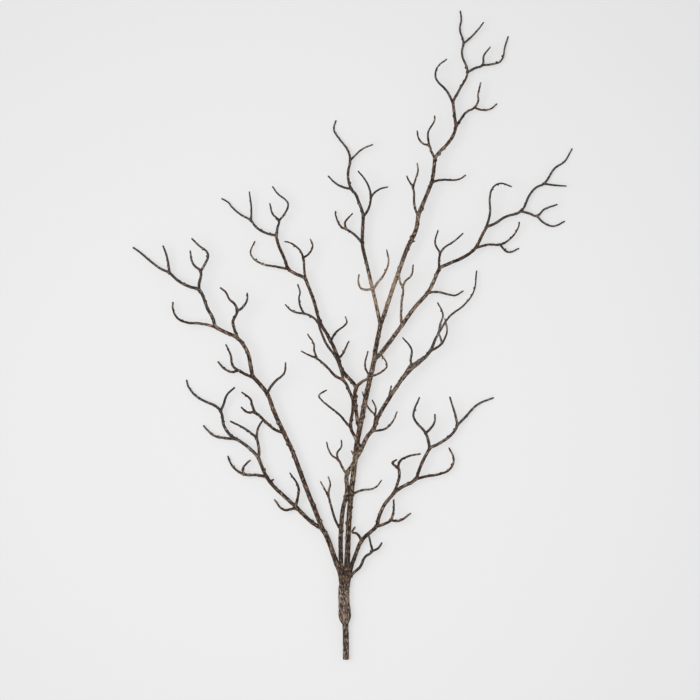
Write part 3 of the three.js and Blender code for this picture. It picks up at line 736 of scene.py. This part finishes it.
# The stem, and the collar with the stumps of the limbs gathered in it
STEM = limb("stem", [STEM_DIAMETER, STEM_DIAMETER], COLLAR_HEIGHT, [
    [346, CUT_END], [345.9, 640], [345.3, 622], [345.0, 612],
], [])
LEFT_STUMP = stretch([8.6, 7.2], 9.5, [[343, 592], [340, 572], [336, 562], [332.5, 552]])
CENTRE_LEFT_STUMP = stretch([7.4, 6.4], 15, [[343.5, 588], [341.5, 570], [340.6, 548]])
CENTRE_STUMP = stretch([9, 7.9], 8.5, [[345.5, 590], [346.5, 572], [347.6, 552]])
LOWER_RIGHT_STUMP = stretch([7.2, 5.6], 9.5, [[347, 588], [350.5, 570], [355.5, 555]])
COLLAR_DIAMETERS = [
    STEM_DIAMETER + 1, COLLAR_BULGE_DIAMETER - 2, COLLAR_BULGE_DIAMETER, COLLAR_BULGE_DIAMETER - 1,
    COLLAR_DIAMETER, COLLAR_DIAMETER, COLLAR_DIAMETER - 5,
]
COLLAR = Shoot(
    [Stop(at, diameter, COLLAR_HEIGHT) for at, diameter in enumerate(COLLAR_DIAMETERS)],
    [[345.2, 624], [344.9, 619.5], [344.8, 616], [344.6, 610], [344, 602], [343.8, 590], [344.2, 576]],
    [LEFT_STUMP, CENTRE_LEFT_STUMP, CENTRE_STUMP, LOWER_RIGHT_STUMP],
    "collar",
)

# What each limb grows from, older limbs first
GROWTH = [
    (LEFT_LIMB, LEFT_STUMP), (LEFT_UPPER_LIMB, LEFT_LIMB), (LEFT_UPPER_SHOOT, LEFT_UPPER_LIMB),
    (LEFT_UPPER_CROWN, LEFT_UPPER_SHOOT), (LEFT_LOWER_LIMB, LEFT_LIMB), (LEFT_LOWER_SHOOT, LEFT_LOWER_LIMB),
    (CENTRE_LIMB, CENTRE_STUMP), (CENTRE_NECK, CENTRE_LIMB), (RIGHT_LIMB, CENTRE_LIMB),
    (INNER_LEFT_LIMB, CENTRE_LIMB), (INNER_LEFT_CROWN, INNER_LEFT_LIMB), (INNER_LEFT_TOP, INNER_LEFT_CROWN),
    (INNER_LEFT_TIP, INNER_LEFT_TOP), (TALL_LIMB, CENTRE_NECK), (CENTRE_CROWN, CENTRE_NECK),
    (CENTRE_TIP, CENTRE_CROWN), (TALL_LIMB_UPPER, TALL_LIMB), (TALL_CROWN, TALL_LIMB_UPPER),
    (TALL_TIP, TALL_CROWN), (RIGHT_LIMB_OUTER, RIGHT_LIMB), (RIGHT_TIP, RIGHT_LIMB_OUTER),
    (CENTRE_LEFT_LIMB, CENTRE_LEFT_STUMP), (CROSSING_LIMB, CENTRE_LEFT_LIMB), (CROSSING_CROWN, CROSSING_LIMB),
    (MIDDLE_STRAND, CENTRE_LEFT_LIMB), (THIN_STRAND, MIDDLE_STRAND), (LOWER_RIGHT_LIMB, LOWER_RIGHT_STUMP),
    (LOWER_RIGHT_SHOOT, LOWER_RIGHT_LIMB), (LOWER_RIGHT_CROWN, LOWER_RIGHT_SHOOT), (SMALL_RIGHT_TWIG, COLLAR),
]


@dataclass
class BarkPiece:
    """One piece of the spray: round wood along its routes, with knots, under one rough skin.

    Attributes:
        shoot: The piece's line and its twigs.
        kind: Its bark.
        voxel: Size of the facets of its skin, in metres.
        lump: Height of the slow unevenness, in metres.
        lump_size: Width of a lump, in metres.
        grit: Height of the bark's grains, in metres.
        grit_size: Width of a grain, in metres.
        grain_draw: Width of a grain against its length.
        knob_step: Least and greatest distance between knobs along a line, in metres.
        knob_swell: Least and greatest radius of a knob, against the wood's own radius.
        knob_lean: How far a knob lies off the middle of the wood, against the wood's own radius.
        fork_swell: Radius of the swelling at a fork, against the wood's own radius.
        twig_swell: Radius of the swelling where a twig leaves, against the twig's radius.
        swell_limit: Greatest radius of that swelling, against the wood's own radius.
        piece: The finished object.
    """

    shoot: Shoot
    kind: Bark
    voxel: float = 0.5 * MM
    lump: float = 0.26 * MM
    lump_size: float = 4.5 * MM
    grit: float = 0.2 * MM
    grit_size: float = 1.5 * MM
    grain_draw: float = 0.36
    knob_step: tuple[float, float] = (7 * MM, 15 * MM)
    knob_swell: tuple[float, float] = (0.9, 1.14)
    knob_lean: float = 0.35
    fork_swell: float = 1.14
    twig_swell: float = 1.35
    swell_limit: float = 1.6
    piece: bpy.types.Object = field(init=False)

    def build(self, forks: list[Station]) -> bpy.types.Object:
        """Makes the piece's mesh.

        Args:
            forks: Where other pieces leave it, with the radius of what leaves.

        Returns:
            The new object, at the origin.
        """
        wood = bmesh.new()
        tubes = self._tubes()
        wood.from_mesh(tubes)
        bpy.data.meshes.remove(tubes)
        for station in [*self._swellings(forks), *self._knobs()]:
            place = Matrix.Translation(station.place)
            bmesh.ops.create_icosphere(wood, subdivisions=2, radius=station.radius, matrix=place)
        self.piece = self._skin(wood)
        self._soften()
        self._roughen()
        return self.piece

    def dress(self, material: bpy.types.Material) -> None:
        """Gives the piece its bark and ties it to the frame.

        Args:
            material: The bark's material.
        """
        self.piece.data.materials.clear()
        self.piece.data.materials.append(material)
        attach(self.piece, BODY)
        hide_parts(self.shoot.name)

    def _tubes(self) -> bpy.types.Mesh:
        """Sweeps a round tube along each line of the piece."""
        curve = bpy.data.curves.new(self.shoot.name, "CURVE")
        curve.dimensions = "3D"
        curve.bevel_depth = 1.0
        curve.bevel_resolution = 4
        curve.resolution_u = 8
        curve.use_fill_caps = True
        for shoot in self.shoot.walk():
            stations = [shoot.root, *shoot.line] if shoot.root else shoot.line
            spline = curve.splines.new("BEZIER")
            spline.bezier_points.add(len(stations) - 1)
            for point, station in zip(spline.bezier_points, stations):
                point.co = station.place
                point.radius = station.radius
                point.handle_left_type = point.handle_right_type = "AUTO"
        sweep = bpy.data.objects.new(self.shoot.name, curve)
        bpy.context.scene.collection.objects.link(sweep)
        mesh = bpy.data.meshes.new_from_object(sweep.evaluated_get(bpy.context.evaluated_depsgraph_get()))
        bpy.data.objects.remove(sweep)
        bpy.data.curves.remove(curve)
        return mesh

    def _swellings(self, forks: list[Station]) -> Iterator[Station]:
        """Swellings where twigs and other pieces leave.

        Args:
            forks: Where other pieces leave it, with the radius of what leaves.

        Yields:
            Balls in the middle of the wood.
        """
        for fork in forks:
            yield Station(fork.place, self.fork_swell * fork.radius)
        for shoot in self.shoot.walk():
            for twig in shoot.twigs:
                root = shoot.at(shoot.foot(twig.route[0]))
                radius = max(self.fork_swell * root.radius, self.twig_swell * twig.line[0].radius)
                yield Station(root.place, min(radius, self.swell_limit * root.radius))

    def _knobs(self) -> Iterator[Station]:
        """Small knobs all along the piece, and a round end on each twig.

        Yields:
            Balls near the middle of the wood.
        """
        chance = random.Random(self.shoot.name)
        for shoot in self.shoot.walk():
            left = chance.uniform(*self.knob_step)
            for start, end in zip(shoot.line, shoot.line[1:]):
                length = (end.place - start.place).length
                while left < length:
                    radius = start.radius + (end.radius - start.radius) * left / length
                    lean = Vector([chance.uniform(-1, 1) * self.knob_lean * radius for _ in range(3)])
                    place = start.place.lerp(end.place, left / length) + lean
                    yield Station(place, radius * chance.uniform(*self.knob_swell))
                    left += chance.uniform(*self.knob_step)
                left -= length
            if shoot.stops[-1].diameter <= STOUT.tip:
                yield shoot.line[-1]

    def _skin(self, wood: bmesh.types.BMesh) -> bpy.types.Object:
        """Fuses tubes and balls under one even skin.

        Args:
            wood: The tubes and balls. It is freed.

        Returns:
            The piece, in the scene.
        """
        name = f"{self.shoot.name}_bark"
        mesh = bpy.data.meshes.new(name)
        wood.to_mesh(mesh)
        wood.free()
        piece = bpy.data.objects.new(name, mesh)
        bpy.context.scene.collection.objects.link(piece)
        skin = piece.modifiers.new("skin", "REMESH")
        skin.mode = "VOXEL"
        skin.voxel_size = self.voxel
        fused = piece.evaluated_get(bpy.context.evaluated_depsgraph_get())
        piece.data = bpy.data.meshes.new_from_object(fused)
        piece.modifiers.clear()
        bpy.data.meshes.remove(mesh)
        piece.data.name = name
        piece.data.shade_smooth()
        return piece

    def _soften(self) -> None:
        """Smooths the skin, then moves it out by as much as that took away."""
        skin = bmesh.new()
        skin.from_mesh(self.piece.data)
        volume = skin.calc_volume()
        for _ in range(2):
            bmesh.ops.smooth_vert(skin, verts=skin.verts, factor=0.5,
                                  use_axis_x=True, use_axis_y=True, use_axis_z=True)
        skin.normal_update()
        lost = (volume - skin.calc_volume()) / sum(face.calc_area() for face in skin.faces)
        for vert in skin.verts:
            vert.co += vert.normal * lost
        skin.to_mesh(self.piece.data)
        skin.free()

    def _roughen(self) -> None:
        """Raises lumps and grains on the skin, and notes on the mesh their height and how the grain runs."""
        mesh = self.piece.data
        places = np.empty(len(mesh.vertices) * 3)
        normals = np.empty(len(mesh.vertices) * 3)
        mesh.vertices.foreach_get("co", places)
        mesh.vertices.foreach_get("normal", normals)
        places = places.reshape(-1, 3)
        fibres = self._fibres(places)
        lumps = self._noise(places / self.lump_size)
        grains = self._noise(fibres / self.grit_size)
        heights = lumps * self.lump + grains * self.grit
        places = places + normals.reshape(-1, 3) * heights[:, None]
        places[:, 2] = np.maximum(places[:, 2], 0.0)
        mesh.vertices.foreach_set("co", places.ravel())
        relief = np.clip(LUMP_SHARE * lumps + GRAIN_SHARE * grains, -1.0, 1.0)
        mesh.attributes.new("relief", "FLOAT", "POINT").data.foreach_set("value", relief)
        mesh.attributes.new("fibre", "FLOAT_VECTOR", "POINT").data.foreach_set("vector", fibres.ravel())
        mesh.update()

    def _fibres(self, places: np.ndarray) -> np.ndarray:
        """Places in the wood's own grain, which runs along it.

        Args:
            places: Points of the skin.

        Returns:
            For each point, how far it is beside its line, above it and along it. The last is drawn together,
            so that grains come out long.
        """
        ends = [(a.place, b.place) for shoot in self.shoot.walk() for a, b in zip(shoot.line, shoot.line[1:])]
        starts, stops = (np.array(side) for side in zip(*ends))
        lengths = np.linalg.norm(stops - starts, axis=1)
        along = (stops - starts) / lengths[:, None]
        beside = np.cross(along, (0.0, 0.0, 1.0))
        beside /= np.linalg.norm(beside, axis=1)[:, None]
        offsets = places[:, None] - starts
        reach = np.einsum("psk,sk->ps", offsets, along)
        gaps = np.linalg.norm(offsets - np.clip(reach, 0.0, lengths)[..., None] * along, axis=2)
        rows, near = np.arange(len(places)), gaps.argmin(axis=1)
        offset, reach = offsets[rows, near], reach[rows, near]
        passed = np.concatenate([[0.0], np.cumsum(lengths)])[near]
        above = np.cross(beside, along)[near]
        sideways, upwards = ((offset * way).sum(axis=1) for way in (beside[near], above))
        return np.stack([sideways, upwards, (passed + reach) * self.grain_draw], axis=1)

    @staticmethod
    def _noise(places: np.ndarray) -> np.ndarray:
        """Smooth noise from -1 to 1 at each place."""
        return np.array([noise.noise(place) for place in places.tolist()])


@dataclass
class Twigs(BarkPiece):
    """A crown of thin twigs: a finer skin and shallower bark."""

    voxel: float = 0.42 * MM
    lump: float = 0.18 * MM
    grit: float = 0.13 * MM


@dataclass
class Sleeve(BarkPiece):
    """The collar or the stem: thick, with the coarsest bark."""

    voxel: float = 0.6 * MM
    lump: float = 0.4 * MM
    lump_size: float = 6.5 * MM
    grit: float = 0.34 * MM
    grit_size: float = 2.1 * MM
    knob_step: tuple[float, float] = (14 * MM, 26 * MM)
    knob_swell: tuple[float, float] = (0.9, 1.04)
    knob_lean: float = 0.12
    fork_swell: float = 1.0


@dataclass
class Spray:
    """The whole spray.

    Attributes:
        finishes: The finish of each kind of bark.
    """

    finishes: dict[Bark, BarkFinish]

    def build(self) -> None:
        """Lays every limb in space, then builds and dresses the pieces."""
        forks = self._lay()
        slots = {part["node"]: Bark(part["material_slot"]) for part in frame["record"]["subparts"]}
        makers = {Bark.LIMB: BarkPiece, Bark.TWIG: Twigs, Bark.SLEEVE: Sleeve}
        materials = {kind: finish.material() for kind, finish in self.finishes.items()}
        for shoot in [STEM, COLLAR, *(limb for limb, _ in GROWTH)]:
            kind = slots[shoot.name]
            part = makers[kind](shoot, kind)
            made = part.build(forks.get(shoot.name, []))
            part.dress(materials[kind])
            LOG.info("%s: %d faces", made.name, len(made.data.polygons))

    @staticmethod
    def _lay() -> dict[str, list[Station]]:
        """Lays the limbs in space, older ones first.

        Returns:
            Where other pieces leave each piece, with the radius of what leaves, by the piece's name.
        """
        forks: dict[str, list[Station]] = {}
        STEM.lay(COLLAR_HEIGHT * MM)
        COLLAR.lay(COLLAR_HEIGHT * MM)
        for grown, carrier in GROWTH:
            grown.grow_from(carrier)
            forks.setdefault(carrier.name or COLLAR.name, []).append(grown.line[0])
        return forks


@dataclass(frozen=True)
class Lamp:
    """A square soft light that faces the spray.

    Attributes:
        name: Name of the light.
        place: Where it hangs, in metres.
        side: Length of its sides, in metres.
        power: Its power, in watts.
        shadow: Whether it casts shadows.
    """

    name: str
    place: Place
    side: float
    power: float
    shadow: bool = True

    def build(self) -> None:
        """Hangs the light."""
        lamp = bpy.data.lights.new(self.name, "AREA")
        lamp.size = self.side
        lamp.energy = self.power
        lamp.use_shadow = self.shadow
        light = bpy.data.objects.new(self.name, lamp)
        light.location = self.place
        light.rotation_euler = (-Vector(self.place)).to_track_quat("-Z", "Y").to_euler()
        light.visible_camera = False
        bpy.context.scene.collection.objects.link(light)


@dataclass(frozen=True)
class Studio:
    """Pale floor, soft light and a camera that looks straight down.

    Attributes:
        view_width: Width of what the camera sees of the spray, in metres.
        view_centre: Point of the floor at the middle of the picture, in metres.
        camera_height: Height of the camera, in metres.
        focus_height: Mean height of the spray, in metres.
        sensor: Width of the camera's sensor, in millimetres.
        floor_size: Length of the floor's sides, in metres.
        floor_colour: Colour of the floor.
        sky: Colour of the light from all round.
        sky_strength: Strength of the light from all round.
        lamps: The lamps above the spray.
    """

    view_width: float = 0.9786
    view_centre: tuple[float, float] = (-0.00385, -0.0206)
    camera_height: float = 6.0
    focus_height: float = 0.016
    sensor: float = 36.0
    floor_size: float = 60.0
    floor_colour: Colour = (0.80, 0.80, 0.80)
    sky: Colour = (0.86, 0.86, 0.87)
    sky_strength: float = 0.31
    lamps: tuple[Lamp, ...] = (
        Lamp("overhead", (0.0, -0.2, 2.6), 1.3, 45.0, shadow=False),
        Lamp("key", (-1.3, 0.1, 3.4), 2.4, 30.0),
    )

    def build(self) -> None:
        """Makes the floor, lights and camera."""
        self._floor()
        for lamp in self.lamps:
            lamp.build()
        self._sky()
        self._camera()
        view = bpy.context.scene.view_settings
        view.view_transform = "Standard"
        view.look = "None"

    def _floor(self) -> None:
        """A wide pale floor."""
        plane = bmesh.new()
        bmesh.ops.create_grid(plane, x_segments=1, y_segments=1, size=self.floor_size / 2)
        mesh = bpy.data.meshes.new("floor")
        plane.to_mesh(mesh)
        plane.free()
        floor = bpy.data.objects.new("floor", mesh)
        bpy.context.scene.collection.objects.link(floor)
        graph = Graph("pale_floor")
        shader = graph.add("ShaderNodeBsdfPrincipled", {}, {
            "Base Color": self.floor_colour, "Roughness": 1.0, "Specular IOR Level": 0.0})
        graph.node("ShaderNodeOutputMaterial", {}, {"Surface": shader})
        mesh.materials.append(graph.material)
        floor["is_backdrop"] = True

    def _sky(self) -> None:
        """Even pale light from all round."""
        world = bpy.data.worlds.new("sky")
        world.use_nodes = True
        backdrop = world.node_tree.nodes["Background"]
        backdrop.inputs["Color"].default_value = (*self.sky, 1.0)
        backdrop.inputs["Strength"].default_value = self.sky_strength
        bpy.context.scene.world = world

    def _camera(self) -> None:
        """A long-lens camera above the spray, with the tallest limb towards the top of the picture."""
        lens = bpy.data.cameras.new("camera")
        lens.sensor_width = self.sensor
        lens.lens = self.sensor * (self.camera_height - self.focus_height) / self.view_width
        lens.clip_end = 100.0
        camera = bpy.data.objects.new("camera", lens)
        camera.location = (*self.view_centre, self.camera_height)
        bpy.context.scene.collection.objects.link(camera)
        bpy.context.scene.camera = camera


# Each finish gives its kind, then the colour of its hollows, which is darkened for painted shade, then its main,
# reddish and pale colours and the share of pale grains.
LIMB_FINISH = BarkFinish(Bark.LIMB, (0.012, 0.007, 0.005), (0.050, 0.031, 0.023), (0.105, 0.050, 0.033),
                         (0.37, 0.28, 0.20), 0.56)
FINISHES = {
    Bark.LIMB: LIMB_FINISH,
    Bark.TWIG: BarkFinish(Bark.TWIG, (0.017, 0.014, 0.013), (0.058, 0.047, 0.041), (0.074, 0.050, 0.040),
                          (0.30, 0.24, 0.195), 0.52, grain_size=1.2 * MM, fleck_size=1.4 * MM),
    Bark.SLEEVE: BarkFinish(Bark.SLEEVE, (0.012, 0.008, 0.006), (0.060, 0.040, 0.033), (0.095, 0.052, 0.039),
                            (0.40, 0.31, 0.235), 0.68, upper=replace(LIMB_FINISH, fleck_share=0.45)),
}


def main() -> None:
    """Builds the spray and the studio."""
    logging.basicConfig(level=logging.INFO, format="%(message)s")
    Studio().build()
    Spray(FINISHES).build()
    boxes = {"cad": [list(corner) for corner in CAD_BOX], "visual": [list(corner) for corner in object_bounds()]}
    LOG.info("boxes in mm: %s", {k: [[round(n / MM, 1) for n in c] for c in v] for k, v in boxes.items()})


if __name__ == "__main__":
    main()
